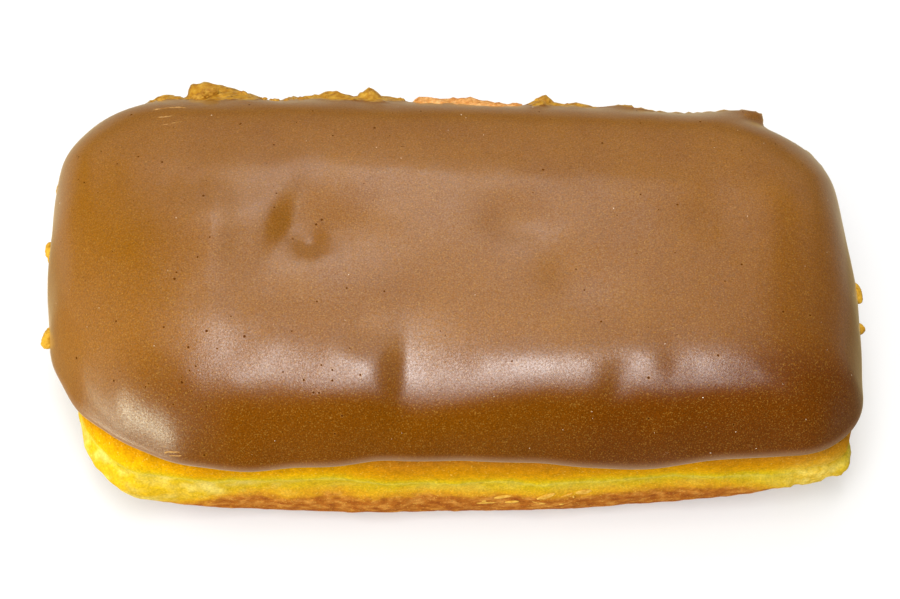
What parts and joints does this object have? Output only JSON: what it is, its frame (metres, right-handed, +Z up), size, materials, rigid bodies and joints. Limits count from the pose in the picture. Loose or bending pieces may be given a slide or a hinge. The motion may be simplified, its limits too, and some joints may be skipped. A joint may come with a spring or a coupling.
{
  "type": "maple bar",
  "caption": "Oblong raised doughnut bar with a fried dough body and a set maple icing over its top and shoulders, torn and crumby along its back edge.",
  "frame": {"origin": "on the surface that the bar rests on, under the middle of its box", "axes": "+X along the bar towards its narrower end, -Y towards the side that shows the most dough, +Z up"},
  "size_m": [0.147, 0.0788, 0.0408],
  "materials": {
    "crust": "fried dough crust, matte, pale yellow along its proof line and brown underneath",
    "icing": "set maple icing, satin"
  },
  "bodies": {
    "root": {"dough": "crust", "icing": "icing"}
  },
  "joints": []
}
